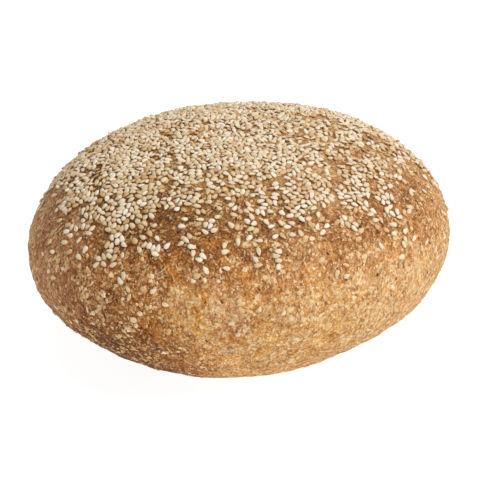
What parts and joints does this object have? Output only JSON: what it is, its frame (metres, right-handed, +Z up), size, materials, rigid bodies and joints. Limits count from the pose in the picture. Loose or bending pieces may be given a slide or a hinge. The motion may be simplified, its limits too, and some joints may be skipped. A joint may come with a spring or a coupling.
{
  "type": "sesame sourdough loaf",
  "caption": "Whole oval hearth-baked sourdough loaf with a domed brown crust, a flat base and sesame seeds stuck to its crown; food for slicing.",
  "frame": {"origin": "middle of the flat base, on the surface the loaf stands on", "axes": "+Z up through the crown, +X along the loaf's longer side"},
  "size_m": [0.2116, 0.1934, 0.11],
  "materials": {
    "crust": "matte",
    "sesame": "satin"
  },
  "bodies": {
    "root": {"loaf": "crust"}
  },
  "joints": []
}
